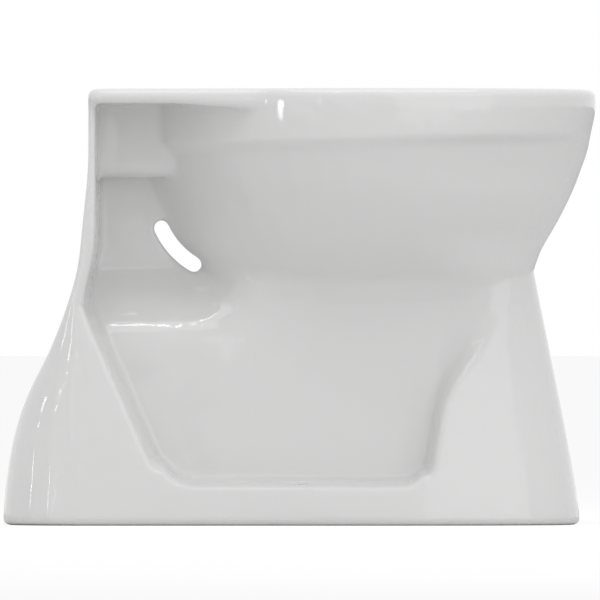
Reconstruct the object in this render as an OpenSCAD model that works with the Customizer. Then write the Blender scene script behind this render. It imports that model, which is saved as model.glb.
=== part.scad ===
// Floor-standing washdown toilet pan in vitreous china, with a floor outlet.
// X runs front to back with the front at +X, Y runs across, Z is up, and the floor is at Z = 0.

/* [Overall] */
// Length over everything, from the heel of the foot to the nose of the rim
overall_l = 545; // [530:1:570]
// Height of the rim above the floor
pan_h = 400; // [390:1:420]
// Width of the rim across the bowl
rim_w = 356; // [340:1:380]
// Width of the foot on the floor
foot_w = 232; // [224:1:250]
// How far the rear plate stands in front of the heel of the foot
plate_set = 79; // [74:1:84]
// How far the toe of the foot lies behind the nose of the rim
toe_set = 14; // [8:1:24]

/* [Foot] */
// Height of the waist, where the front of the bowl meets the foot
waist_z = 234; // [230:1:242]
// How far the waist lies behind the nose of the rim
waist_set = 57; // [50:1:64]
// Width of the front of the foot at the waist
waist_w = 146; // [138:1:160]
// Height of the ledge at the bottom of each side pocket
ledge_z = 41; // [36:1:48]
// Width of the trunk between the two side pockets
trunk_w = 130; // [128:1:140]
// Radius along the bottom edge of the foot
foot_r = 6; // [3:0.5:9]

/* [Back] */
// Width of the rear plate
plate_w = 206; // [196:1:220]
// Thickness of the rear plate
plate_t = 8.5; // [7:0.5:11]
// Thickness of the web between the rear plate and the bowl
web_t = 16; // [12:1:20]
// Height of the top of the trap's crown
crown_z = 216; // [212:1:220]
// Width of the slot through the web
slot_w = 14; // [10:1:18]
// Length of the slot, end to end
slot_l = 59; // [46:1:66]

/* [Rim] */
// Depth of the rim's side face, from the rim's top to the luted line, at its front
apron_h = 50; // [46:1:54]
// How much higher the luted line lies at the front than at the back
seam_rise = 10; // [4:1:14]
// How far the bowl's side is set in under the rim
rim_in = 9; // [6:1:11]
// Width of the rim's top, from its outer edge to the opening
rim_top_w = 50; // [47:1:56]
// Distance of the opening's back from the back of the seat shelf
open_set = 98; // [94:1:108]
// Thickness of the seat shelf
shelf_t = 13.5; // [11:0.5:15]
// Width of the seat shelf at its back edge
shelf_w = 226; // [216:1:240]
// Distance between the seat's hinge holes
seat_pitch = 155; // [145:1:165]
// Diameter of each seat hinge hole
seat_d = 15; // [12:0.5:17]
// How far the seat holes lie in front of the shelf's back edge
seat_set = 36; // [32:1:42]

/* [Walls] */
// Thickness of the china in the bowl and the foot
wall = 10; // [8:0.5:11]
// Thickness of the trap's own wall
trap_wall = 7.5; // [6:0.5:8]
// Gap left between castings that only stand next to each other
gap = 0.3; // [0.2:0.1:0.6]

/* [Flush inlet] */
// Bore of the flush inlet
inlet_d = 55; // [50:1:57]
// How far the middle of the flush inlet lies below the top of the rim
inlet_drop = 44; // [42:1:46]
// Width of the inlet's neck behind the bowl
neck_w = 90; // [84:1:98]
// Thickness of the neck under the bore
neck_wall = 9.5; // [8:0.5:12]
// Diameter of the flush pipe that the inlet seal grips
flush_pipe_d = 44; // [40:1:46]
// Length of the inlet seal
inlet_seal_l = 28; // [18:1:32]

/* [Outlet] */
// Bore of the outlet in the floor
outlet_d = 84; // [80:1:86]
// Distance of the outlet's middle from the heel of the foot
outlet_set = 82; // [80:1:86]
// Height of the outlet's end above the floor
outlet_z = 6; // [4:0.5:8]
// Thickness of the rubber round the outlet
outlet_seal_t = 5; // [3:0.5:6]

/* [Water seal] */
// Height of the weir, which is the level of the standing water
weir_z = 148; // [144:1:150]
// Depth of the water seal under the lip of the bowl
seal_depth = 48; // [42:1:52]

/* [Floor fixing] */
// Distance between the two floor-fixing holes
fixing_pitch = 186; // [180:1:192]
// Diameter of each floor-fixing hole
fixing_d = 12; // [8:0.5:13]

/* [Hidden] */
china = [0.93, 0.93, 0.92];
rubber = [0.13, 0.13, 0.14];
under = 1;                            // how far a cut runs past the face that it opens

// Places along the length
heel_x = -overall_l / 2;              // back of the foot on the floor
nose_x = overall_l / 2;               // front of the rim
plate_x = heel_x + plate_set;         // back of the rear plate and of the seat shelf
toe_x = nose_x - toe_set;             // front of the foot on the floor
waist_x = nose_x - waist_set;         // front of the waist
wide_x = heel_x + 0.592 * overall_l;  // where the bowl and the rim are widest
rim_back_set = 36;
rim_back_x = plate_x + rim_back_set;  // back of the rim's oval, under the seat shelf
bowl_low_set = 117;
bowl_low_x = plate_x + bowl_low_set;  // back of the bowl where it reaches the crown
heel_cut_set = 83.5;
heel_cut_x = plate_x + heel_cut_set;  // joint between the heel and the trunk
sump_set = 54;
sump_l = 102;
sump_back_x = bowl_low_x + sump_set;  // back of the opening into the trap
sump_front_x = sump_back_x + sump_l;  // front of the opening into the trap
partition_x = sump_front_x + trap_wall + wall / 2;  // front of the trunk's hollow
toe_cut_clear = 8.5;
toe_cut_x = partition_x + toe_cut_clear;  // joint between the trunk and the toe

// Heights
knee_z = crown_z * 0.926;             // where the rear plate turns into the flared foot
toe_fall = 14;                        // how far the crease under the bowl falls rearwards
crease_z = waist_z - toe_fall;        // crease between the bowl and the trunk
seam_front_z = pan_h - apron_h;
shelf_low_z = pan_h - shelf_t;
inlet_z = pan_h - inlet_drop;
neck_low_z = inlet_z - inlet_d / 2 - neck_wall;
ledge_soft = 10;                      // height of the fillet along the ledge
tray_z = ledge_z - 1.3 * wall;        // top of the hollow under the ledges
joint_z = weir_z;                     // joint between the bowl and the trap

// Sums and soft blends

function mix(a, b, t) = a + (b - a) * t;
function clamp(t) = max(0, min(1, t));
function ease(t) = let (c = clamp(t)) c * c * (3 - 2 * c);
function ramp(t) = (ease(t) + clamp(t)) / 2;
function soft_max(a, b, r) =
    let (h = clamp(0.5 + (a - b) / (2 * r))) mix(b, a, h) + r * h * (1 - h);
function soft_min(a, b, r) = -soft_max(-a, -b, r);

// A smooth curve through stations, each [place, value]
function seg(s, v, i = 0) = i >= len(s) - 2 || v <= s[i + 1][0] ? i : seg(s, v, i + 1);
function tilt(s, i) =
    let (a = s[max(i - 1, 0)], b = s[min(i + 1, len(s) - 1)]) (b[1] - a[1]) / (b[0] - a[0]);
function curve(s, v) =
    let (i = seg(s, v), w = s[i + 1][0] - s[i][0], t = clamp((v - s[i][0]) / w), q = 1 - t)
    s[i][1] * q * q * (1 + 2 * t) + s[i + 1][1] * t * t * (3 - 2 * t)
    + w * t * q * (q * tilt(s, i) - t * tilt(s, i + 1));

// Side silhouette: shares of the way from one line to the next, over shares of the height

rear_sweep = [[0, 0], [0.24, 0.055], [0.44, 0.15], [0.62, 0.31], [0.8, 0.54], [0.98, 0.725],
              [1.17, 0.87], [1.4, 0.94], [1.66, 1], [2, 1], [4, 1]];
nose_sweep = [[0, 0], [0.11, 0.12], [0.22, 0.31], [0.33, 0.485], [0.45, 0.65], [0.55, 0.76],
              [0.66, 0.87], [0.78, 0.935], [0.9, 1], [1, 1]];
toe_bulge = 17;                       // how full the front of the foot is, low down
function edge_in(z) = z >= foot_r ? 0 : foot_r - sqrt(foot_r * foot_r - pow(foot_r - max(z, 0), 2));
function rear_x(z) = mix(heel_x, plate_x, curve(rear_sweep, z / knee_z)) + edge_in(z);
function front_x(z) =
    z > waist_z
    ? mix(waist_x, nose_x, curve(nose_sweep, (z - waist_z) / (pan_h - waist_z)))
    : let (t = z / waist_z) mix(toe_x, waist_x, t) + toe_bulge * t * pow(1 - t, 2) - edge_in(z);

// The luted line between the bowl and the rim, and the joint between the foot and all that
// stands on it, are slightly tilted planes
function seam_z(x) = seam_front_z - seam_rise * (nose_x - x) / (nose_x - rim_back_x);
function waist_cut_z(x) = mix(crown_z, waist_z, (x - heel_cut_x) / (waist_x - heel_cut_x));

// Outlines of the bowl and the rim: round in front, and drawn in to the inlet's neck behind.
// Each is given as half the width at a place, and as the radius in a direction.

rim_p = 2.25;                         // fullness of the rim's front, where 2 is an ellipse
belly_p = 2.15;                       // the same for the middle of the bowl
bowl_p = 1.92;                        // the same for the bowl's top, which is hollowed under the rim
foot_p = 3;                           // the same for the foot
function oval_y(x, back, front, half, p, q = 1) =
    x > wide_x ? half * pow(1 - pow(clamp((x - wide_x) / (front - wide_x)), p), 1 / p)
    : half * pow(1 - pow(clamp((wide_x - x) / (wide_x - back)), 2), q);
function round_r(a, mid, back, front, half, p) =
    let (l = cos(a) > 0 ? front - mid : mid - back)
    pow(pow(abs(cos(a)) / l, p) + pow(abs(sin(a)) / half, p), -1 / p);
function oval_r(a, mid, back, front, half, p) =
    cos(a) > 0 ? round_r(a, mid, back, front, half, p)
    : let (s = abs(sin(a))) 2 * half / (s + sqrt(s * s + pow(2 * half * cos(a) / (mid - back), 2)));

// Outside of the bowl
bowl_low_z = crown_z + 0.4 * wall;    // height at which the bowl's back reaches the crown
back_sweep = [[0, 0], [0.1, 0.13], [0.34, 0.49], [0.54, 0.68], [0.79, 0.87], [1, 1]];
flank_sweep = [[0, 0], [0.15, 0.2], [0.35, 0.47], [0.55, 0.7], [0.75, 0.87], [1, 1]];
crease_run = 75;                      // length over which the crease falls from the waist
bulge = 16;                           // height of the bowl's rounded underside at the waist
back_bulge = 36;                      // the same over the side pockets
function waist_near(x) = ease((x - toe_cut_x) / (waist_x - toe_cut_x) * 1.3);
function bulge_at(x) = mix(back_bulge, bulge, waist_near(x));
full_rise = 50;                       // height over which the bowl's bottom loses its fullness
hollow_rise = 50;                     // depth of the hollow under the rim's side face
low_in = 6;
waist_in = 3;
low_half = trunk_w / 2 - low_in;      // half the width of the bowl at the crease
low_add = waist_w / 2 - waist_in - low_half;  // how much wider the bowl is there at the waist
function crease_at(x) = waist_z - toe_fall * ease((waist_x - x) / crease_run);
function level(x, z) =
    crease_z + (z - crease_z) * (seam_front_z - crease_z) / (seam_z(x) - crease_z);
function bowl_back(z) =
    mix(bowl_low_x, rim_back_x + rim_in,
        curve(back_sweep, clamp((z - bowl_low_z) / (seam_front_z - bowl_low_z))));
function bowl_half(z) =
    mix(low_half, rim_w / 2 - rim_in,
        curve(flank_sweep, clamp((z - crease_z) / (seam_front_z - crease_z))));
function full_at(z) =
    mix(mix(foot_p, belly_p, ease((z - crease_z) / full_rise)), bowl_p,
        ease((z - seam_front_z + hollow_rise) / hollow_rise * 1.6));
function bowl_y(x, z) =
    let (v = level(x, z))
    z <= crease_at(x) - bulge_at(x) ? 0
    : oval_y(x, bowl_back(v), front_x(z),
             bowl_half(v) + low_add * waist_near(x) * (1 - ease((z - crease_z) / full_rise)),
             full_at(v),
             mix(0.5, 1, ease((v - crease_z) / (seam_front_z - crease_z) * 1.5)))
      * ease((z - crease_at(x) + bulge_at(x)) / bulge_at(x));

// Side pockets: where each one starts and ends along the foot at a height
knee_set = 78;
knee_x = heel_x + knee_set;
pocket_back_set = 148;
pocket_back_x = heel_x + pocket_back_set;   // back of the pocket at the ledge
pocket_front_clear = 10.5;
pocket_front_x = toe_cut_x + pocket_front_clear;  // front of the pocket's wall at the ledge
pocket_lean = 0.165;                  // how much the front of the pocket leans forward
back_round = 12;                      // width of the sloped back edge of the pocket
plate_edge = 4;                       // width of the same edge at the rear plate
plate_rise = 70;                      // height over which the pocket's back turns upright
front_round = 11;                     // width of the sloped front edge at the ledge
front_wide = 75;                      // width of the same slope at the crease
sweep_z = mix(ledge_z, crease_z, 0.35);
corner_rise = 16;                     // how far the ledge rises into the pocket's back corner
corner_run = 26;
toe_rise = 9;                         // the same for its front corner
toe_run = 15;
function pocket_back(z) =
    z > knee_z ? mix(knee_x, plate_x + plate_t, ease((z - knee_z) / plate_rise))
    : mix(pocket_back_x, knee_x, clamp((z - ledge_z) / (knee_z - ledge_z)));
function back_soft(z) = mix(back_round, plate_edge, ease((z - knee_z) / plate_rise + 0.4));
function front_soft(z) =
    mix(front_round, front_wide, ease((z - sweep_z) / (crease_z - sweep_z)));
function pocket_front(z) =
    pocket_front_x + pocket_lean * (min(z, waist_z) - ledge_z) + front_soft(z) / 2;
function ledge_at(x) =
    ledge_z + corner_rise * pow(clamp(1 - (x - pocket_back_x) / corner_run), 2)
    + toe_rise * pow(clamp(1 + (x - pocket_front_x) / toe_run), 2);

// Foot: half its width, with the corners rounded in plan
heel_round = 62;                      // reach of the round at the heel, along X
plate_round = 4;                      // the same at the rear plate
foot_reach_l = 120;                     // length over which the heel's flare turns into the toe's
toe_fade = 12;                        // height over which the foot ends in the bowl
function heel_corner(d, reach, half, flat, inset) =
    let (t = clamp(1 - (d - inset) / (reach - inset)), f = max(flat - inset, foot_r / 3))
    f + (half - inset - f) * sqrt(1 - t * t);
function plate_share(z) = ease((z / knee_z - 0.4) / 0.8);
function heel_half(z) = mix(foot_w, plate_w, clamp(z / knee_z)) / 2 - edge_in(z);
function heel_y(x, z, inset = 0) =
    let (s = plate_share(z), h = heel_half(z))
    heel_corner(x - rear_x(z), mix(heel_round, plate_round + inset, s), h,
                mix(h * 0.34, h - plate_round, s), inset);
function toe_half(z) = mix(foot_w, waist_w, clamp(z / waist_z)) / 2 - edge_in(z);
function toe_y(x, z, inset = 0) =
    oval_y(max(x, wide_x), wide_x - under, front_x(z) - inset, toe_half(z) - inset, foot_p)
    * (1 - ease((z - crease_at(x)) / toe_fade));
function foot_y(x, z, inset = 0) =
    mix(heel_y(x, z, inset), toe_y(x, z, inset), ease((x - wide_x) / foot_reach_l + 0.5));

// Trunk between the pockets, with the round crown of the trap at its back, and the web above
crown_up = 34;                        // how far above the crown its flank leaves the web
crown_down = 50;                      // how far below the crown the flank is as wide as the trunk
crown_round = 44;                     // the same for the room inside it
crown_run = 70;                       // length over which the crown runs out under the bowl
trunk_end = 40;                       // height over which the trunk ends in the bowl
trunk_lean = 8;                       // how far the trunk's side leans in at the crease
crown_end_x = bowl_low_x - crown_run / 3;
function under_bowl(x) = ease((x - crown_end_x) / crown_run);
function crown_y(z) =
    mix(web_t / 2, trunk_w / 2, ease((crown_z + crown_up - z) / (crown_up + crown_down)));
function trunk_y(z) =
    (trunk_w / 2 - trunk_lean * (z - ledge_z) / (crease_z - ledge_z))
    * (1 - 0.6 * ease((z - crease_z) / trunk_end));
function pocket_y(x, z) = mix(crown_y(z), trunk_y(z), under_bowl(x));
function crown_room_y(z) =
    let (t = clamp((z - crown_z + crown_round) / (crown_round - wall)))
    (trunk_w / 2 - wall) * sqrt(1 - t * t);

// Half the width of the whole body
waist_soft = 6;                       // how softly the bowl runs into the foot at the waist
side_soft = 16;                      // the same over the side pockets
function blend_at(x) = mix(side_soft, waist_soft, waist_near(x));
function between_ends(x, z, grow = 0) =
    ramp((x - pocket_back(z) + grow) / back_soft(z) + 0.5)
    * ease((pocket_front(z) - x + grow) / front_soft(z) + 0.5);
function in_pocket(x, z) =
    between_ends(x, z) * ease((z - ledge_at(x)) / ledge_soft + 0.65);
function body_y(x, z) =
    soft_max(mix(foot_y(x, z), pocket_y(x, z), in_pocket(x, z)), bowl_y(x, z), blend_at(x));

// A closed skin over a grid of [x, z] places, with half its width given at each place
module skin(grid, half) {
    rows = len(grid);
    cols = len(grid[0]);
    side = rows * cols;
    function at(i, j, s) = s * side + i * cols + j;
    points = [for (s = [-1, 1]) for (i = [0 : rows - 1]) for (j = [0 : cols - 1])
        [grid[i][j][0], s * half[i][j], grid[i][j][1]]];
    flanks = [for (i = [0 : rows - 2]) for (j = [0 : cols - 2])
        let (a = at(i, j, 0), b = at(i, j + 1, 0), c = at(i + 1, j + 1, 0), d = at(i + 1, j, 0),
             bend = abs(half[i][j] - half[i + 1][j + 1]) > abs(half[i][j + 1] - half[i + 1][j]))
        each (bend ? [[a, d, b], [b, d, c]] : [[a, c, b], [a, d, c]])];
    mirrored = [for (f = flanks) [f[0] + side, f[2] + side, f[1] + side]];
    ends = [for (i = [0 : rows - 2]) each [
        [at(i, 0, 0), at(i, 0, 1), at(i + 1, 0, 1)], [at(i, 0, 0), at(i + 1, 0, 1), at(i + 1, 0, 0)],
        [at(i, cols - 1, 0), at(i + 1, cols - 1, 1), at(i, cols - 1, 1)],
        [at(i, cols - 1, 0), at(i + 1, cols - 1, 0), at(i + 1, cols - 1, 1)]]];
    lids = [for (j = [0 : cols - 2]) each [
        [at(0, j, 0), at(0, j + 1, 0), at(0, j + 1, 1)], [at(0, j, 0), at(0, j + 1, 1), at(0, j, 1)],
        [at(rows - 1, j, 0), at(rows - 1, j + 1, 1), at(rows - 1, j + 1, 0)],
        [at(rows - 1, j, 0), at(rows - 1, j, 1), at(rows - 1, j + 1, 1)]]];
    polyhedron(points, concat(flanks, mirrored, ends, lids));
}
module body_skin(grid) skin(grid, [for (row = grid) [for (p = row) body_y(p[0], p[1])]]);

// A closed skin over rings of points, each ring with as many points as the next. A casting that
// meets another one on a bent face has its facets parted the other way, so that both share them.
module rings(loops, ring_round = false, other_way = false) {
    n = len(loops[0]);
    m = len(loops);
    points = [for (l = loops) each l];
    walls = [for (i = [0 : m - (ring_round ? 1 : 2)]) for (j = [0 : n - 1])
        let (k = (i + 1) % m, a = i * n + j, b = i * n + (j + 1) % n, c = k * n + (j + 1) % n,
             d = k * n + j)
        each (other_way ? [[a, d, b], [b, d, c]] : [[a, c, b], [a, d, c]])];
    caps = ring_round ? [] : [[for (j = [0 : n - 1]) j], [for (j = [n - 1 : -1 : 0]) (m - 1) * n + j]];
    polyhedron(points, concat(walls, caps));
}

// Rows of the foot, from the floor up to its top joint, closer where the form turns faster
foot_rows = concat([for (t = [0, 0.25, 0.6, 1]) t * foot_r],
                   [mix(foot_r, ledge_z - ledge_soft, 0.5)],
                   [for (t = [-1, -0.65, -0.4, -0.2, 0, 0.2, 0.4, 0.8]) ledge_z + t * ledge_soft]);
rise_steps = [0.03, 0.08, 0.15, 0.24, 0.34, 0.44, 0.54, 0.62, 0.7, 0.77, 0.83, 0.89, 0.94, 0.975, 1];
band_steps = [-0.5, -0.25, 0, 0.25, 0.5];
heel_steps = [0, 0.012, 0.045, 0.1, 0.18, 0.3, 0.48, 0.72];
toe_steps = [0.2, 0.38, 0.54, 0.68, 0.79, 0.87, 0.93, 0.97, 0.992, 1];
function back_cols(z) =
    let (r = rear_x(z), p = pocket_back(z), b = back_soft(z))
    concat([for (t = heel_steps) mix(r, p - b / 2, t)], [for (t = band_steps) p + b * t]);
function heel_cols(z) =
    let (b = pocket_back(z) + back_soft(z) / 2)
    concat(back_cols(z), [for (t = [0.33, 0.66, 1]) mix(b, heel_cut_x, t)]);
function trunk_cols() = [for (t = [0 : 0.0625 : 1]) mix(heel_cut_x, toe_cut_x, t)];
function toe_cols(z) =
    let (p = pocket_front(z), b = front_soft(z), f = front_x(z), s = min(p + b / 2, f - foot_r))
    concat([for (t = [0, 0.5]) mix(toe_cut_x, p - b / 2, t)],
           [for (t = band_steps) mix(p - b / 2, s, t + 0.5)], [for (t = toe_steps) mix(s, f, t)]);
function foot_rise_z(x, t) = mix(foot_rows[len(foot_rows) - 1], waist_cut_z(x), t);
function foot_cols(part, back_z, front_z) =
    part == 0 ? heel_cols(back_z) : part == 1 ? trunk_cols() : toe_cols(front_z);
function foot_grid(part) = concat(
    [for (z = foot_rows) [for (x = foot_cols(part, z, z)) [x, z]]],
    [for (t = rise_steps)
        [for (x = foot_cols(part, foot_rise_z(knee_x, t), foot_rise_z(waist_x, t)))
            [x, foot_rise_z(x, t)]]]);

// Rows of all that stands on the foot, from the joint up to the luted line
top_steps = [0, 0.03, 0.06, 0.09, 0.125, 0.165, 0.21, 0.26, 0.32, 0.385, 0.455, 0.53, 0.605, 0.68,
             0.755, 0.83, 0.9, 0.96, 1];
web_steps = [0, 0.2, 0.4, 0.6, 0.8, 1];
bowl_steps = [0, 0.008, 0.022, 0.045, 0.075, 0.115, 0.165, 0.22, 0.28, 0.34, 0.4, 0.46, 0.52, 0.58,
              0.64, 0.7, 0.755, 0.805, 0.85, 0.89, 0.925, 0.955, 0.98, 0.994, 1];
plate_steps = [0.35, 0.7, 1];         // rows of the rear plate above the luted line
nib = 2;                              // the web ends this far behind the bowl's back
function web_end(z) = (z > crown_z ? bowl_back(z) : bowl_low_x + (crown_z - z) / 10) - nib;
function web_start(z) = pocket_back(z) + back_soft(z) / 2;
function top_row_z(x, t) = mix(waist_cut_z(x), seam_z(x), t);
function top_grid(part) = [for (t = top_steps)
    let (back_z = top_row_z(plate_x, t), end = web_end(top_row_z(bowl_low_x, t)),
         xs = part == 0 ? back_cols(back_z)
            : part == 1 ? [for (s = web_steps) mix(web_start(back_z), end, s)]
            : [for (s = bowl_steps) mix(end, front_x(top_row_z(waist_x, t)), s)])
    [for (x = xs) [x, top_row_z(x, t)]]];

// Inside of the bowl: rings from above the luted line down to the opening into the trap
sump_half = 46;                       // half the width of the opening into the trap
cup_turn_z = waist_z + 3 * wall;      // above this the wall is even all round
cup_sweep = [[0, 0], [0.3, 0.22], [0.6, 0.5], [0.85, 0.82], [1, 1]];
cup_steps = [0, 0.04, 0.1, 0.17, 0.25, 0.33, 0.41, 0.5, 0.59, 0.68, 0.77, 0.86, 0.94, 1];
ring_n = 56;
lean_wall = wall * 1.15;              // the wall as measured along X, where it leans
function cup_front(z) =
    z > cup_turn_z ? front_x(z) - lean_wall
    : mix(sump_front_x, front_x(cup_turn_z) - lean_wall,
          curve(cup_sweep, clamp((z - joint_z) / (cup_turn_z - joint_z))));
function cup_back(z) =
    z > bowl_low_z ? bowl_back(z) + lean_wall
    : mix(sump_back_x, bowl_low_x + lean_wall, clamp((z - joint_z) / (bowl_low_z - joint_z)));
function cup_half(z) =
    z > crease_z ? max(bowl_half(z - 0.6 * wall) - 0.8 * wall, trunk_w / 2 - wall)
    : mix(sump_half, trunk_w / 2 - wall, clamp((z - joint_z) / (crease_z - joint_z)));
function cup_share(z) = (z - joint_z) / (seam_front_z - joint_z);
function cup_r(a, m, z, grow = 0) =
    mix(round_r(a, m, cup_back(z), cup_front(z), cup_half(z), 2),
        oval_r(a, m, cup_back(z), cup_front(z), cup_half(z), bowl_p),
        ease((cup_share(z) - 0.2) / 0.25));
function cup_ring(z, lift = 0) =
    let (m = mix((sump_back_x + sump_front_x) / 2, wide_x, ease(cup_share(z) / 0.45)))
    [for (k = [0 : ring_n - 1])
        let (a = 360 * k / ring_n, r = cup_r(a, m, z), x = m + r * cos(a))
        [x, r * sin(a), z + lift + (seam_z(x) - seam_front_z) * ease(cup_share(z) / 0.75)]];
module bowl_inside()
    rings(concat([cup_ring(joint_z, -under)],
                 [for (t = cup_steps) cup_ring(mix(joint_z, seam_front_z, t))],
                 [cup_ring(seam_front_z, under)]));

// Hollow of the foot, open to the floor: a tray under the ledges and three chambers above it
tray_steps = [0, 0.01, 0.035, 0.08, 0.14, 0.22, 0.5, 0.78, 0.86, 0.92, 0.965, 0.99, 1];
module tray() {
    half = [for (t = tray_steps)
        let (x = mix(rear_x(foot_r) + wall, front_x(foot_r) - wall, t))
        [x, max(foot_y(x, foot_r, wall), under)]];
    n = len(half);
    translate([0, 0, -under]) linear_extrude(tray_z + under)
        polygon(concat(half, [for (i = [n - 1 : -1 : 0]) [half[i][0], -half[i][1]]]));
}
chamber_steps = [0, 0.06, 0.16, 0.3, 0.46, 0.6, 0.74, 0.88, 1];
heel_end_set = 24;                    // how far the heel's hollow narrows up to the crown
crown_room_z = crown_z - wall;
heel_heights = concat([tray_z - under],
    [for (t = [0, 0.2, 0.45, 0.68, 0.82, 0.9, 0.945, 0.97, 0.99, 1])
        mix(ledge_z + ledge_soft, crown_room_z, t)]);
toe_top_z = mix(joint_z, crease_z, 0.5);
toe_heights = concat([tray_z - under],
                     [for (t = [0, 0.25, 0.5, 0.75, 1]) mix(ledge_z + ledge_soft, toe_top_z, t)]);
function hollow_y(x, z) =
    mix(foot_y(x, z, wall), crown_room_y(z), between_ends(x, max(z, ledge_z), wall));
function heel_end(z) =
    bowl_low_x + mix(0.4, -0.6, ease((z - joint_z) / (crown_z - joint_z))) * heel_end_set;
function toe_start(z) = max(partition_x + wall, cup_front(z + wall) + wall / 2);
module heel_chamber() {
    grid = [for (z = heel_heights) [for (t = chamber_steps)
        [mix(rear_x(z) + wall, heel_end(z), t), z]]];
    skin(grid, [for (row = grid) [for (p = row) max(hollow_y(p[0], p[1]), wall / 2)]]);
}
module toe_chamber() {
    grid = [for (z = toe_heights) [for (t = chamber_steps)
        [mix(toe_start(z), front_x(z) - wall, t), z]]];
    skin(grid, [for (row = grid) [for (p = row) max(hollow_y(p[0], p[1]), under)]]);
}
module trunk_chamber() {
    start = bowl_low_x;
    translate([start, wall - trunk_w / 2, tray_z - under])
        cube([partition_x - start, trunk_w - 2 * wall, joint_z - tray_z + under]);
}
module fixing_holes()
    for (s = [-1, 1]) translate([0, s * fixing_pitch / 2, tray_z - under])
        cylinder(d = fixing_d, h = wall + 2 * ledge_soft, $fn = 48);

module heel() color(china) difference() {
    body_skin(foot_grid(0));
    tray();
    heel_chamber();
}
module trunk() color(china) difference() {
    body_skin(foot_grid(1));
    tray();
    heel_chamber();
    trunk_chamber();
    bowl_inside();
    fixing_holes();
}
module toe() color(china) difference() {
    body_skin(foot_grid(2));
    tray();
    toe_chamber();
    bowl_inside();
}

// Slot through the web, bent round a centre on the bowl's side
slot_clear = 20;                      // how far above the crown the slot's place is measured from
slot_share = 0.2415;                  // its share of the way from there up to the neck
slot_set = 6.4;                       // how far the slot lies behind the bowl's back
slot_turn = 221.7;                    // direction from the bend's centre to the slot's middle
slot_z = mix(crown_z + slot_clear, neck_low_z, slot_share);  // middle of the slot's chord
slot_x = bowl_back(slot_z) - slot_set;
slot_sag = 3.5;                       // how far the slot bulges away from the bowl
module slot_cut() {
    chord = slot_l - slot_w;
    bend = (chord * chord / 4 + slot_sag * slot_sag) / (2 * slot_sag);
    half_turn = asin(chord / 2 / bend);
    reach = bend - slot_sag;
    translate([slot_x - reach * cos(slot_turn), 0, slot_z - reach * sin(slot_turn)])
        rotate([90, 0, 0]) {
            rotate([0, 0, slot_turn - half_turn]) rotate_extrude(angle = 2 * half_turn, $fn = 96)
                translate([bend - slot_w / 2, -web_t * 2]) square([slot_w, web_t * 4]);
            for (s = [-1, 1]) rotate([0, 0, slot_turn + s * half_turn]) translate([bend, 0, 0])
                cylinder(d = slot_w, h = web_t * 4, center = true, $fn = 48);
        }
}

// Neck of the flush inlet, from the rear plate into the back of the bowl and the rim.
// Each station is [share of its length, half its width at the top, the same at the bottom],
// as shares of the neck's width.
neck_start_x = plate_x + plate_t;
neck_l = 100;
neck_end_x = neck_start_x + neck_l;
neck_round = 15;                      // radius along the neck's lower edges
neck_form = [[0, 0.665, 0.6], [0.03, 0.59, 0.56], [0.09, 0.545, 0.53], [0.17, 0.52, 0.51],
             [0.31, 0.525, 0.515], [0.6, 0.555, 0.54], [1, 0.61, 0.58]];
function neck_loop(f) =
    let (x = neck_start_x + f[0] * neck_l, b = f[2] * neck_w - neck_round, z = neck_low_z)
    concat([[x, -f[1] * neck_w, shelf_low_z]],
           [for (a = [180 : 15 : 270]) [x, -b + neck_round * cos(a), z + neck_round * (1 + sin(a))]],
           [for (a = [270 : 15 : 360]) [x, b + neck_round * cos(a), z + neck_round * (1 + sin(a))]],
           [[x, f[1] * neck_w, shelf_low_z]]);
module neck_block() rings([for (f = neck_form) neck_loop(f)]);
module inlet_bore()
    translate([heel_x, 0, inlet_z]) rotate([0, 90, 0])
        cylinder(d = inlet_d, h = neck_end_x + under - heel_x, $fn = 96);
module channel_inside() rings([
    [for (p = rim_loop(rim_in + wall, 0)) [p[0], p[1], seam_z(p[0]) - under]],
    rim_loop(rim_in + wall, shelf_low_z + under)]);

module inlet_neck() color(china) difference() {
    neck_block();
    channel_inside();
    bowl_inside();
    inlet_bore();
}
module bowl() color(china) difference() {
    body_skin(top_grid(2));
    bowl_inside();
    slot_cut();
    neck_block();
}
module web() color(china) difference() {
    body_skin(top_grid(1));
    slot_cut();
    translate([plate_x, -plate_w, neck_low_z]) cube([neck_l, 2 * plate_w, pan_h]);
}
module back_plate() color(china) difference() {
    low = top_grid(0);
    top = low[len(low) - 1];
    body_skin(concat(low, [for (t = plate_steps) [for (p = top) [p[0], mix(p[1], shelf_low_z, t)]]]));
    neck_block();
    inlet_bore();
}

// Flushing rim: a top with the seat shelf drawn out at its back, a side over the bowl's edge, and
// a lip that hangs inside the opening, with the water's channel between the three
merge_set = 158;
merge_x = plate_x + merge_set;        // where the edge of the seat shelf runs into the rim
drop_x = plate_x + merge_set / 2;     // where that edge starts to get deeper
shelf_drop = 7;                       // how much deeper it is where it ends
shelf_soft = 20;                      // how round the shelf's corners are
shelf_join = 3;                       // how softly its sides run into the rim
open_p = 2;                           // the opening is an ellipse, with room for the channel round it
lip_t = 9;                            // thickness of the lip inside the rim
lip_rise = 6;
lip_z = seam_z(rim_back_x) + lip_rise;      // bottom of the lip, above the luted line
cove_h = 9;                           // height of the hollow along the rim's lower edge
rim_edge = 7;                         // radius along the top edge of the rim
corner_a = atan2(shelf_w / 2, plate_x - wide_x);  // direction of the shelf's corner
corner_span = 7;                      // directions on each side of it that are set closer
half_turn_a = concat([for (a = [2.5 : 3.5 : corner_a - corner_span - 2]) a],
                     [for (t = [-1 : 0.17 : 1]) corner_a + t * corner_span],
                     [for (t = [0.2, 0.4, 0.6, 0.85]) mix(corner_a + corner_span, 180, t)]);
rim_angles = concat([for (a = half_turn_a) a],
                    [for (i = [len(half_turn_a) - 1 : -1 : 0]) 360 - half_turn_a[i]]);
function rim_r(a, o, front, p) =
    oval_r(a, wide_x, rim_back_x + o, front, rim_w / 2 - o, p);
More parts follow.
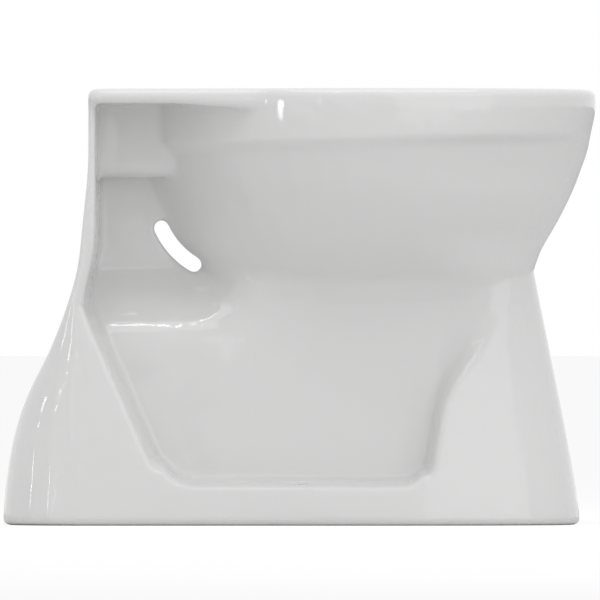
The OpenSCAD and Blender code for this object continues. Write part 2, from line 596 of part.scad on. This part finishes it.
function shelf_r(a, o) =
    let (c = cos(a), s = abs(sin(a)), oval = rim_r(a, o, nose_x - o, rim_p),
         b = [merge_x, oval_y(merge_x, rim_back_x, nose_x, rim_w / 2, rim_p)],
         e = [plate_x, shelf_w / 2], d = b - e, n = [-d[1], d[0]] / norm(d),
         back = (wide_x - plate_x - o) / max(-c, 0.01),
         side = (n * (e - [wide_x, 0]) - o) / (n * [c, s]))
    wide_x + oval * c > merge_x ? oval : soft_max(oval, soft_min(back, side, shelf_soft), shelf_join);
function ring_of(radii, z) =
    [for (i = [0 : len(rim_angles) - 1])
        [wide_x + radii[i] * cos(rim_angles[i]), radii[i] * sin(rim_angles[i]), z]];
function rim_loop(o, z) = ring_of([for (a = rim_angles) rim_r(a, o, nose_x - o, rim_p)], z);
function shelf_loop(o, z) = ring_of([for (a = rim_angles) shelf_r(a, o)], z);
function open_loop(o, z) =
    ring_of([for (a = rim_angles) round_r(a, wide_x, plate_x + open_set - o,
             nose_x - rim_top_w + o, rim_w / 2 - rim_top_w + o, open_p)], z);
// The rim's side over the luted line, h above it and set in by o, with the nose on its silhouette
function side_loop(o, h, p) =
    let (l = ring_of([for (a = rim_angles) rim_r(a, o, front_x(seam_front_z + h), p)], 0))
    [for (q = l) [q[0], q[1], seam_z(q[0]) + h]];
// The shelf's underside, with its front lifted off the loop before it
function under_shelf(loop, rise, lift) =
    [for (p = loop) [p[0], p[1],
        shelf_low_z + rise + (lift - shelf_drop) * clamp((p[0] - drop_x) / (merge_x - drop_x))]];
function shelf_low_loop(o) =
    ring_of([for (a = rim_angles)
        max(shelf_r(a, cos(a) < cos(corner_a) ? 0 : o), rim_r(a, 0, nose_x, rim_p))], 0);
// The top is seated on the side, whose upper edge is chamfered where the shelf's edge hangs low
chamfer = 4;
module rim_top() color(china) difference() {
    rings([
        open_loop(0, shelf_low_z),
        rim_loop(chamfer, shelf_low_z),
        under_shelf(rim_loop(0, 0), 0, 0),
        under_shelf(shelf_low_loop(rim_edge / 3), 0, under),
        under_shelf(shelf_loop(0, 0), rim_edge / 3, under),
        shelf_loop(0, pan_h - rim_edge * 0.85),
        shelf_loop(rim_edge * 0.08, pan_h - rim_edge * 0.6),
        shelf_loop(rim_edge * 0.3, pan_h - rim_edge * 0.29),
        shelf_loop(rim_edge * 0.62, pan_h - rim_edge * 0.08),
        shelf_loop(rim_edge, pan_h),
        open_loop(lip_t, pan_h),
        open_loop(lip_t / 3, pan_h - lip_t / 4),
        open_loop(0, pan_h - lip_t)], ring_round = true);
    for (s = [-1, 1]) translate([plate_x + seat_set, s * seat_pitch / 2, shelf_low_z - under])
        cylinder(d = seat_d, h = shelf_t + 2 * under, $fn = 48);
}
module rim_side() color(china) difference() {
    rings([
        side_loop(rim_in, 0, bowl_p),
        side_loop(0.72 * rim_in, 0.3 * cove_h, bowl_p),
        side_loop(0.3 * rim_in, 0.72 * cove_h, mix(bowl_p, rim_p, 0.5)),
        side_loop(0.05 * rim_in, 1.1 * cove_h, rim_p),
        under_shelf(rim_loop(0, 0), 0, 0),
        rim_loop(chamfer, shelf_low_z),
        rim_loop(rim_in + wall, shelf_low_z),
        [for (p = rim_loop(rim_in + wall, 0)) [p[0], p[1], seam_z(p[0])]]],
        ring_round = true, other_way = true);
    neck_block();
}
module rim_lip() color(china) rings([
    open_loop(0, shelf_low_z),
    open_loop(0, lip_z),
    open_loop(lip_t, lip_z),
    open_loop(lip_t, shelf_low_z)], ring_round = true);

// Splitter in the rim's channel, which sends the water both ways round the bowl
splitter_w = 44;
splitter_t = 6;
splitter_l = 22;
splitter_clear = 3;                   // room between it, the lip and the luted line
module flush_distributor() color(china) {
    front = plate_x + open_set - lip_t - splitter_clear;
    back = front - splitter_l;
    low = lip_z + splitter_clear;
    translate([0, 0, low]) linear_extrude(shelf_low_z - low)
        polygon([[back, 0], [front - splitter_t, splitter_w / 2], [front, splitter_w / 2],
                 [back + 2 * splitter_t, 0], [front, -splitter_w / 2],
                 [front - splitter_t, -splitter_w / 2]]);
}

// Trap: sections from the bowl down under the lip, up over the weir and down to the floor.
// Each one runs from the side of the lip and the crown to the side of the floor and the weir.
outlet_x = heel_x + outlet_set;
outlet_r = outlet_d / 2;
r = outlet_r;
sweep_r = 0.985 * r;                  // the bend ends just inside the straight pipe
bend_z = 1.5 * r;                     // height at which the outlet leg runs straight
lip_low_z = weir_z - seal_depth;      // lip of the bowl, under which the water has to pass
trap_low_z = lip_low_z - 1.29 * r;
crown_in_z = crown_z - wall - trap_wall - 2 * gap;
sb = sump_back_x;
sf = sump_front_x;
function up_leg(t) = mix(lip_low_z, crown_in_z, t);
bend_sections = [
    [[sb, joint_z], [sf, joint_z], sump_half],
    [[sb - 0.05 * r, lip_low_z + 0.57 * r], [sf - 0.19 * r, lip_low_z + 0.1 * r], sump_half],
    [[sb - 0.12 * r, lip_low_z + 0.17 * r], [sf - 0.71 * r, trap_low_z + 0.48 * r], sump_half],
    [[sb - 0.29 * r, lip_low_z], [sf - 1.67 * r, trap_low_z], sump_half * 0.98],
    [[sb - 0.55 * r, lip_low_z + 0.07 * r], [sb - 0.38 * r, trap_low_z + 0.05 * r], sump_half * 0.96],
    [[sb - 0.9 * r, lip_low_z + 0.52 * r], [sb - 1.38 * r, trap_low_z + 0.67 * r], sump_half * 0.935],
    [[sb - 1.33 * r, up_leg(0.55)], [sb - 2 * r, weir_z - 0.71 * r], r],
    [[sb - 1.83 * r, up_leg(0.86)], [sb - 2.48 * r, weir_z - 0.14 * r], r],
    [[sb - 2.43 * r, crown_in_z], [outlet_x + 1.33 * r, weir_z], r]];
leg_sections = [
    bend_sections[len(bend_sections) - 1],
    [[sb - 3.14 * r, crown_in_z - 0.02 * r], [outlet_x + 1.24 * r, weir_z - 0.05 * r], r],
    [[outlet_x + 0.05 * r, crown_in_z - 0.26 * r], [outlet_x + 1.12 * r, weir_z - 0.24 * r], r],
    [[outlet_x - 0.43 * r, crown_in_z - 0.81 * r], [outlet_x + 1.02 * r, weir_z - 0.57 * r], r],
    [[outlet_x - 0.76 * r, crown_in_z - 1.52 * r], [outlet_x + r, weir_z - 1.05 * r], r],
    [[outlet_x - 0.976 * r, mix(crown_in_z, bend_z, 0.75)], [outlet_x + r, bend_z + 0.43 * r], r],
    [[outlet_x - sweep_r, bend_z], [outlet_x + sweep_r, bend_z], sweep_r]];
tube_n = 32;
function trap_ring(s, grow) =
    let (mid = (s[0] + s[1]) / 2, arm = (s[0] - s[1]) / 2, arm_l = norm(arm),
         e = arm * (arm_l + grow) / arm_l)
    [for (k = [0 : tube_n - 1]) let (a = 360 * k / tube_n)
        [mid[0] + e[0] * cos(a), (s[2] + grow) * sin(a), mid[1] + e[1] * cos(a)]];
// The end ring of a run, carried straight on past the end
function past_end(before, last) =
    let (on = under / norm(last[0] - before[0]))
    [for (i = [0 : tube_n - 1]) last[i] + (last[i] - before[i]) * on];
module trap_bore(sections) {
    n = len(sections) - 1;
    loops = [for (s = sections) trap_ring(s, 0)];
    rings(concat([past_end(loops[1], loops[0])], [for (i = [1 : n - 1]) loops[i]],
                 [past_end(loops[n - 1], loops[n])]));
}
module trap_bend() color(china) difference() {
    rings([for (s = bend_sections) trap_ring(s, trap_wall)]);
    trap_bore(bend_sections);
}
module outlet_leg() color(china) difference() {
    union() {
        rings([for (s = leg_sections) trap_ring(s, trap_wall)]);
        translate([outlet_x, 0, outlet_z])
            cylinder(r = outlet_r + trap_wall, h = bend_z - outlet_z + under, $fn = 96);
    }
    trap_bore(leg_sections);
    translate([outlet_x, 0, outlet_z - under])
        cylinder(r = outlet_r, h = bend_z - outlet_z + 2 * under, $fn = 96);
}

// Rubber sleeve in the inlet
inlet_seal_set = 3;                   // how far the sleeve lies inside the rear plate
module inlet_seal() color(rubber)
    translate([plate_x + inlet_seal_set, 0, inlet_z]) rotate([0, 90, 0]) difference() {
        cylinder(d = inlet_d, h = inlet_seal_l, $fn = 96);
        translate([0, 0, -under]) cylinder(d = flush_pipe_d, h = inlet_seal_l + 2 * under, $fn = 96);
    }

// Rubber ring round and under the end of the outlet
outlet_seal_h = 22;
module outlet_seal() color(rubber) translate([outlet_x, 0, 0]) difference() {
    cylinder(r = outlet_r + trap_wall + outlet_seal_t, h = outlet_seal_h, $fn = 96);
    translate([0, 0, -under]) cylinder(r = outlet_r, h = outlet_seal_h + 2 * under, $fn = 96);
    translate([0, 0, outlet_z])
        cylinder(r = outlet_r + trap_wall, h = outlet_seal_h, $fn = 96);
}

rim_top();
rim_side();
rim_lip();
inlet_neck();
flush_distributor();
bowl();
back_plate();
web();
heel();
trunk();
toe();
trap_bend();
outlet_leg();
inlet_seal();
outlet_seal();
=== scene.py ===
import math

import bmesh
import bpy
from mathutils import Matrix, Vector


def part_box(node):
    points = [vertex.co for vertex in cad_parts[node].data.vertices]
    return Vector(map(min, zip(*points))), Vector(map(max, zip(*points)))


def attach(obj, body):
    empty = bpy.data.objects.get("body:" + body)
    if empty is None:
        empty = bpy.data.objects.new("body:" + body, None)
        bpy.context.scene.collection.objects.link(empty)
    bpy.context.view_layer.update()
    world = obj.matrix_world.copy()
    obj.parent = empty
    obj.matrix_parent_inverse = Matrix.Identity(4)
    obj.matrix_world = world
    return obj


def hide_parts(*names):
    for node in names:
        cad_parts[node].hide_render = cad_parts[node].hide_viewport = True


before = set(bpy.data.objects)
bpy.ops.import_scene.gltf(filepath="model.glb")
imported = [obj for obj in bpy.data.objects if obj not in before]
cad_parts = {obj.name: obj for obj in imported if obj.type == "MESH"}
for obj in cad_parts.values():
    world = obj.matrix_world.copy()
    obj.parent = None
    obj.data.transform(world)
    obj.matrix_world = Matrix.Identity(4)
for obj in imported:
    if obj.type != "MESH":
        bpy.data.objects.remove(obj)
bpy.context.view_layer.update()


# Camera. The pan is seen square from its right-hand side, through a very long lens.
seen_width, camera_far = 0.552, 20.0
middle_x, middle_z = 0.0005, 0.2065    # the middle of the picture
lens = bpy.data.cameras.new("side_view")
lens.sensor_width = 36
lens.lens = lens.sensor_width * camera_far / seen_width
lens.clip_end = 200
camera = bpy.data.objects.new("side_view", lens)
camera.location = (middle_x, -camera_far, middle_z)
camera.rotation_euler = (math.radians(90), 0, 0)
bpy.context.scene.collection.objects.link(camera)
bpy.context.scene.camera = camera
bpy.context.scene.view_settings.view_transform = "Standard"


# Surround. A white room lights the pan evenly from all sides, as a light tent does. The camera
# and the glaze see it at full white, and the light that it gives is less.
room_gives, room_shows = 0.62, 1.0


class Value:
    """A shader socket that takes part in sums, so that a material reads as an expression."""

    def __init__(self, tree, socket):
        self.tree, self.socket = tree, socket

    def maths(self, operation, *inputs):
        return self.tree.node("ShaderNodeMath", {"operation": operation}, dict(enumerate(inputs)))

    def __add__(self, other): return self.maths("ADD", self, other)
    def __radd__(self, other): return self.maths("ADD", other, self)
    def __sub__(self, other): return self.maths("SUBTRACT", self, other)
    def __rsub__(self, other): return self.maths("SUBTRACT", other, self)
    def __mul__(self, other): return self.maths("MULTIPLY", self, other)
    def __rmul__(self, other): return self.maths("MULTIPLY", other, self)
    def at_least(self, other): return self.maths("MAXIMUM", self, other)

    def step(self, low, high):
        """0 below low, 1 above high, and a soft rise between them."""
        return self.tree.node("ShaderNodeMapRange", {"interpolation_type": "SMOOTHSTEP"},
                              {"Value": self, "From Min": low, "From Max": high})


class Tree:
    """The node tree of a material or the world, with one method that adds any node."""

    def __init__(self, owner):
        owner.use_nodes = True
        self.nodes, self.links = owner.node_tree.nodes, owner.node_tree.links
        self.nodes.clear()

    def node(self, kind, settings=None, inputs=None, output=0):
        made = self.nodes.new(kind)
        for name, value in (settings or {}).items():
            setattr(made, name, value)
        for name, value in (inputs or {}).items():
            if isinstance(value, Value):
                self.links.new(value.socket, made.inputs[name])
            else:
                made.inputs[name].default_value = value
        return Value(self, made.outputs[output]) if made.outputs else None


world = bpy.data.worlds.new("white_room")
bpy.context.scene.world = world
tree = Tree(world)
rays = [tree.node("ShaderNodeLightPath", output=name)
        for name in ("Is Camera Ray", "Is Glossy Ray", "Is Transmission Ray")]
room_light, room_white = [
    tree.node("ShaderNodeBackground", inputs={"Color": (1, 1, 1, 1), "Strength": strength})
    for strength in (room_gives, room_shows)]
tree.node("ShaderNodeOutputWorld", inputs={"Surface": tree.node("ShaderNodeMixShader", inputs={
    0: rays[0].at_least(rays[1]).at_least(rays[2]), 1: room_light, 2: room_white})})


# Floor. It is pale and matt. The camera sees it lifted to the white of the room, with the
# pan's soft shadow left in it.
floor_half = 60                        # from its middle to its edge, which is too far to be seen


def placed(name, bm):
    """The bmesh as an object of the scene, with its place in its mesh."""
    mesh = bpy.data.meshes.new(name)
    bm.to_mesh(mesh)
    bm.free()
    piece = bpy.data.objects.new(name, mesh)
    bpy.context.scene.collection.objects.link(piece)
    return piece


bm = bmesh.new()
bmesh.ops.create_grid(bm, x_segments=1, y_segments=1, size=floor_half)
floor = placed("floor", bm)
material = bpy.data.materials.new("pale_floor")
tree = Tree(material)
paint = tree.node("ShaderNodeBsdfDiffuse", inputs={"Color": (0.80, 0.80, 0.80, 1)})
veil = tree.node("ShaderNodeBsdfDiffuse", inputs={"Color": (0.25, 0.25, 0.25, 1)})
lift = tree.node("ShaderNodeEmission", inputs={"Color": (1, 1, 1, 1), "Strength": 0.79})
tree.node("ShaderNodeOutputMaterial", inputs={"Surface": tree.node("ShaderNodeMixShader", inputs={
    0: tree.node("ShaderNodeLightPath", output="Is Camera Ray"), 1: paint,
    2: tree.node("ShaderNodeAddShader", inputs={0: veil, 1: lift})})})
floor.data.materials.append(material)

# Lamps. Two broad soft ones overhead and in front give the form its light and shade, and four
# small ones, one overhead and three to the left, leave the thin streaks on the glaze. Each is
# (name, place, width, height, watts), and all are turned to the same point in the pan.
lit_point = Vector((-0.1, 0, 0.15))
for name, place, width, height, watts in (
        ("ceiling", (-0.1, -0.7, 2.5), 2.6, 2.0, 22),
        ("front_right", (2.0, -3.4, 1.5), 3.2, 3.0, 23),
        ("overhead_strip", (-0.3, -0.9, 2.0), 0.40, 0.05, 0.9),
        ("left_side", (-2.6, -0.1, 0.46), 0.12, 0.28, 1.1),
        ("left_front", (-2.1, -1.5, 0.40), 0.10, 0.24, 0.75),
        ("front_left", (-1.2, -2.4, 0.5), 0.05, 0.20, 0.11)):
    light = bpy.data.lights.new(name, "AREA")
    light.shape = "RECTANGLE"
    light.size, light.size_y = width, height
    light.energy = watts
    lamp = bpy.data.objects.new(name, light)
    lamp.location = place
    lamp.rotation_euler = (lit_point - Vector(place)).to_track_quat("-Z", "Y").to_euler()
    bpy.context.scene.collection.objects.link(lamp)

# Glaze. White and glossy over vitreous china, with the faint waviness of a sprayed glaze, and
# left off the edge that stands on the floor, where the fired clay shows bare and matt.
clay_to_z, glaze_from_z = 0.0004, 0.0014
glaze = bpy.data.materials.new("white_glaze")
tree = Tree(glaze)
place = tree.node("ShaderNodeTexCoord", output="Object")
height = tree.node("ShaderNodeSeparateXYZ", inputs={"Vector": place}, output="Z")
glazed = height.step(clay_to_z, glaze_from_z)
bare = 1.0 - glazed
swell = tree.node("ShaderNodeTexNoise", inputs={"Vector": place, "Scale": 14.0, "Detail": 0.0})
ripple = tree.node("ShaderNodeTexNoise", inputs={"Vector": place, "Scale": 52.0, "Detail": 1.0})
grit = tree.node("ShaderNodeTexNoise", inputs={"Vector": place, "Scale": 1400.0, "Detail": 1.0})
relief = swell * 0.8 + ripple * 0.44 + grit * bare * 0.3
wave = tree.node("ShaderNodeBump", inputs={"Strength": 0.6, "Distance": 0.0016, "Height": relief})
cloud = tree.node("ShaderNodeTexNoise", inputs={"Vector": place, "Scale": 6.0, "Detail": 3.0})
white = tree.node("ShaderNodeMix", {"data_type": "RGBA"},
                  {0: cloud, 6: (0.740, 0.740, 0.736, 1), 7: (0.765, 0.765, 0.763, 1)}, output=2)
china_white = tree.node("ShaderNodeMix", {"data_type": "RGBA"},
                        {0: glazed, 6: (0.70, 0.67, 0.61, 1), 7: white}, output=2)
tree.node("ShaderNodeOutputMaterial", inputs={"Surface": tree.node(
    "ShaderNodeBsdfPrincipled", inputs={
        "Base Color": china_white, "Roughness": bare * 0.6 + cloud * 0.05 + 0.04,
        "IOR": 1.5, "Normal": wave})})


# Pan. Rim, neck, bowl, plate, web and foot are cast apart, joined while they are soft, and fired
# under one glaze. So one skin is drawn over them all, and the next sections cut it into pieces
# near the castings' joints.
finest_form = 0.0021                   # size of the cells that a skin is made from
evening_rounds = 7


def finish(piece, kind, **settings):
    """Puts a modifier on the piece and applies it."""
    modifier = piece.modifiers.new(kind, kind)
    for name, value in settings.items():
        setattr(modifier, name, value)
    with bpy.context.temp_override(object=piece, active_object=piece):
        bpy.ops.object.modifier_apply(modifier=modifier.name)


def copied(name, body):
    """A copy of the body with a mesh of its own."""
    piece = body.copy()
    piece.data = body.data.copy()
    piece.name = piece.data.name = name
    bpy.context.scene.collection.objects.link(piece)
    return piece


def merged(castings):
    """The meshes of the castings' CAD nodes in one bmesh, with their triangles joined."""
    bm = bmesh.new()
    for name in castings:
        bm.from_mesh(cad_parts[name].data)
    bmesh.ops.remove_doubles(bm, verts=bm.verts, dist=1e-6)
    return bm


def loose_parts(body, least_faces=400):
    """Parts the body where it doesn't hang together, and drops the specks closed inside the clay."""
    for other in bpy.context.selected_objects:
        other.select_set(False)
    body.select_set(True)
    bpy.context.view_layer.objects.active = body
    bpy.ops.mesh.separate(type="LOOSE")
    parts = sorted(bpy.context.selected_objects, key=lambda part: -len(part.data.polygons))
    kept = [part for part in parts if len(part.data.polygons) >= least_faces]
    for speck in parts[len(kept):]:
        bpy.data.objects.remove(speck)
    return kept


def skin_over(castings, softness, share_kept):
    """One skin over castings that are joined while soft: round at the edges, filled in the corners.
    With it comes an evener copy, from which its pieces take their shading up to the very cut."""
    skin = placed("skin", merged(castings))
    finish(skin, "REMESH", mode="VOXEL", voxel_size=finest_form)
    skin = loose_parts(skin)[0]
    finish(skin, "SMOOTH", factor=0.5, iterations=softness)
    finish(skin, "DECIMATE", ratio=share_kept)
    skin.data.shade_smooth()
    skin.data.materials.clear()
    skin.data.materials.append(glaze)
    uncut = copied("uncut", skin)
    finish(uncut, "SMOOTH", factor=0.5, iterations=evening_rounds)
    return skin, uncut


pan, uncut_pan = skin_over(["rim_top", "rim_side", "rim_lip", "inlet_neck", "bowl", "back_plate",
                            "web", "heel", "trunk", "toe"], softness=4, share_kept=0.4)
ends = {name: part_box(name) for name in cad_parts}


# Foot. China, hollow and open below, in three castings: the heel, which flares out at the back,
# the trunk between the two side pockets, and the toe under the front of the bowl.
heel_front_x, heel_top_z = ends["heel"][1][0], ends["heel"][1][2]
toe_back_x, toe_top_z = ends["toe"][0][0], ends["toe"][1][2]
waist_x = 0.2155                       # front of the pan's waist, where the bowl meets the toe
far_out = 1.0                          # further out than any part of the pan


def mould(low, high, planes):
    """A box to cut with, itself cut by planes. Each plane is a point and the way out of the box."""
    bm = bmesh.new()
    bmesh.ops.create_cube(bm, size=1)
    for v in bm.verts:
        v.co = [low[i] if v.co[i] < 0 else high[i] for i in range(3)]
    for point, outward in planes:
        cut = bmesh.ops.bisect_plane(bm, geom=[*bm.verts, *bm.edges, *bm.faces], dist=1e-7,
                                     plane_co=point, plane_no=outward, clear_outer=True)
        rim = [e for e in cut["geom_cut"] if isinstance(e, bmesh.types.BMEdge)]
        bmesh.ops.contextual_create(bm, geom=rim)
    bmesh.ops.recalc_face_normals(bm, faces=bm.faces)
    return placed("mould", bm)


def slope(start, end):
    """A cut through two points, each X and Z, with its outer side on the left of the way."""
    way = Vector((end[0] - start[0], 0, end[1] - start[1]))
    return (start[0], 0, start[1]), way.cross(Vector((0, 1, 0)))


def cut_off(body, casting, *planes, **limits):
    """Cuts one casting off the body, within low and high limits of X and Z and under planes."""
    box = mould([limits.get("from_x", -far_out), -far_out, limits.get("from_z", -far_out)],
                [limits.get("to_x", far_out), far_out, limits.get("to_z", far_out)], planes)
    piece = copied(casting, body)
    finish(piece, "BOOLEAN", operation="INTERSECT", solver="MANIFOLD", object=box)
    finish(body, "BOOLEAN", operation="DIFFERENCE", solver="MANIFOLD", object=box)
    bpy.data.objects.remove(box)
    return piece


def china(piece, casting, uncut):
    """Makes a piece its casting's, with the shading of the uncut skin."""
    finish(piece, "DATA_TRANSFER", object=uncut, use_loop_data=True,
           data_types_loops={"CUSTOM_NORMAL"}, loop_mapping="POLYINTERP_NEAREST")
    piece.name = piece.data.name = casting + "_glazed"
    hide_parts(casting)
    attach(piece, "root")


trunk = cut_off(pan, "trunk", slope((heel_front_x, heel_top_z), (waist_x, toe_top_z)))
heel = cut_off(trunk, "heel", to_x=heel_front_x)
toe = cut_off(trunk, "toe", from_x=toe_back_x)
china(trunk, "trunk", uncut_pan)
china(heel, "heel", uncut_pan)
china(toe, "toe", uncut_pan)

# Rim's top. A flat ring of china that runs out at the back into the seat shelf. It is luted on
# the rim's side and lip, and closes the water's channel from above.
off_face = 0.002                       # how far a cut keeps off a face of the china
ceiling_z = ends["flush_distributor"][1][2] - off_face
china(cut_off(pan, "rim_top", from_z=ceiling_z), "rim_top", uncut_pan)

# Back plate. An upright slab of china from the heel up to the seat shelf, with the bore that the
# flush comes in by.
plate_front_x = ends["back_plate"][1][0] - 0.0005
china(cut_off(pan, "back_plate", to_x=plate_front_x), "back_plate", uncut_pan)

# Inlet neck. The thick-walled china passage that takes the flush from the back plate to the
# rim's channel. It is luted to both.
neck_low_z = ends["inlet_neck"][0][2] - off_face
neck_front_x = -0.155
china(cut_off(pan, "inlet_neck", to_x=neck_front_x, from_z=neck_low_z), "inlet_neck", uncut_pan)

# Web. A thin upright wall of china between back plate and bowl, with a curved slot cut through
# it while it is soft. It ends where the bowl's back slopes away.
bowl_back_high_x = -0.146              # the bowl's back at the neck's underside
bowl_back_low_x = -0.0845              # the same at the top of the heel
bowl_back = slope((bowl_back_high_x, neck_low_z), (bowl_back_low_x, heel_top_z))
china(cut_off(pan, "web", bowl_back, to_z=neck_low_z), "web", uncut_pan)

# Rim's lip. A thin wall of china that hangs inside the bowl's mouth and turns the flush down.
# With the rim's top taken off, nothing holds it to the rest.
bowl, rim_lip = loose_parts(pan)[:2]
china(rim_lip, "rim_lip", uncut_pan)

# Rim's side and bowl. The side is a wall of china round the rim. It is luted on the bowl along a
# line that shows outside and rises a little towards the front.
luted_front, luted_back = (0.2725, 0.350), (-0.1575, 0.340)
china(cut_off(bowl, "rim_side", slope(luted_front, luted_back)), "rim_side", uncut_pan)
china(bowl, "bowl", uncut_pan)
bpy.data.objects.remove(uncut_pan)

# Splitter. A small block of the same china stands in the rim's channel across the inlet, and
# sends the flush both ways round. Its edges are rounded by the glaze.
edge_round = 0.0025
bm = merged(["flush_distributor"])
bmesh.ops.dissolve_limit(bm, angle_limit=math.radians(1), verts=bm.verts, edges=bm.edges)
bmesh.ops.bevel(bm, geom=bm.edges, offset=edge_round, offset_type="OFFSET", affect="EDGES",
                segments=4, profile=0.5, material=-1)
flush_distributor = placed("flush_distributor_glazed", bm)
flush_distributor.data.shade_smooth()
flush_distributor.data.materials.append(glaze)
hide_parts("flush_distributor")
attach(flush_distributor, "root")

# Trap. The bend under the bowl and the leg down to the floor are one bent tube of the same china.
# It is cut across where the water runs over the weir.
trap, uncut_trap = skin_over(["trap_bend", "outlet_leg"], softness=6, share_kept=0.5)
weir = (ends["outlet_leg"][1][0], 0.148)
over_weir = (ends["trap_bend"][0][0], 0.198)
china(cut_off(trap, "outlet_leg", slope(over_weir, weir)), "outlet_leg", uncut_trap)
china(trap, "trap_bend", uncut_trap)
bpy.data.objects.remove(uncut_trap)


# Inlet seal. A moulded sleeve of black rubber that sits in the back plate's bore and grips the
# flush pipe pushed into it. Its three fins press against the bore.
rubber = bpy.data.materials.new("seal_rubber")
tree = Tree(rubber)
place = tree.node("ShaderNodeTexCoord", output="Object")
bloom = tree.node("ShaderNodeTexNoise", inputs={"Vector": place, "Scale": 60.0, "Detail": 4.0})
grain = tree.node("ShaderNodeTexNoise", inputs={"Vector": place, "Scale": 1800.0, "Detail": 2.0})
black = tree.node("ShaderNodeMix", {"data_type": "RGBA"},
                  {0: bloom, 6: (0.020, 0.020, 0.021, 1), 7: (0.042, 0.041, 0.040, 1)}, output=2)
grained = tree.node("ShaderNodeBump", inputs={"Strength": 0.35, "Distance": 0.0003, "Height": grain})
tree.node("ShaderNodeOutputMaterial", inputs={"Surface": tree.node(
    "ShaderNodeBsdfPrincipled", inputs={
        "Base Color": black, "Roughness": bloom * 0.2 + 0.5, "Normal": grained})})


def seal(casting, axis, outward, profile):
    """A rubber ring turned round its axis. A profile point is a place along the axis and a radius."""
    low, high = [Vector(end) for end in ends[casting]]
    start = (low + high) / 2 - axis * axis.dot(high - low) / 2
    bm = bmesh.new()
    ring = [bm.verts.new(start + axis * along + outward * radius) for along, radius in profile]
    edges = [bm.edges.new((ring[i - 1], ring[i])) for i in range(len(ring))]
    bmesh.ops.spin(bm, geom=ring + edges, cent=start, axis=axis, angle=math.tau, steps=96,
                   use_merge=True)
    bmesh.ops.recalc_face_normals(bm, faces=bm.faces)
    piece = placed(casting + "_rubber", bm)
    finish(piece, "BEVEL", width=0.0005, segments=3, limit_method="ANGLE",
           angle_limit=math.radians(35))
    piece.data.shade_smooth()
    piece.data.materials.append(rubber)
    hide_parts(casting)
    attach(piece, "root")


pipe_r, sleeve_r, fin_r, sleeve_l = 0.022, 0.0258, 0.0274, 0.028
fins = [point for at in (0.005, 0.013, 0.021) for point in
        ((at - 0.0025, sleeve_r), (at, fin_r), (at + 0.0008, fin_r), (at + 0.001, sleeve_r))]
seal("inlet_seal", Vector((1, 0, 0)), Vector((0, 0, 1)),
     [(0, pipe_r + 0.0008), (0.0008, pipe_r), (sleeve_l - 0.0006, pipe_r),
      (sleeve_l, pipe_r + 0.0006), (sleeve_l, sleeve_r), *reversed(fins), (0, sleeve_r)])

# Outlet seal. A wide ring of the same rubber, pushed up over the end of the outlet leg. The leg
# stands on its base, and three grooves run round it.
bore_r, leg_r, cuff_r, base_h, cuff_h = 0.042, 0.0495, 0.0545, 0.006, 0.022
groove_r, cuff_edge = cuff_r - 0.0009, 0.0008
grooves = [point for at in (0.018, 0.014, 0.010) for point in
           ((at, cuff_r), (at - 0.0006, groove_r), (at - 0.0016, groove_r), (at - 0.0022, cuff_r))]
seal("outlet_seal", Vector((0, 0, 1)), Vector((1, 0, 0)),
     [(0, bore_r), (base_h, bore_r), (base_h, leg_r), (cuff_h, leg_r), (cuff_h, cuff_r - cuff_edge),
      (cuff_h - cuff_edge, cuff_r), *grooves, (0, cuff_r)])
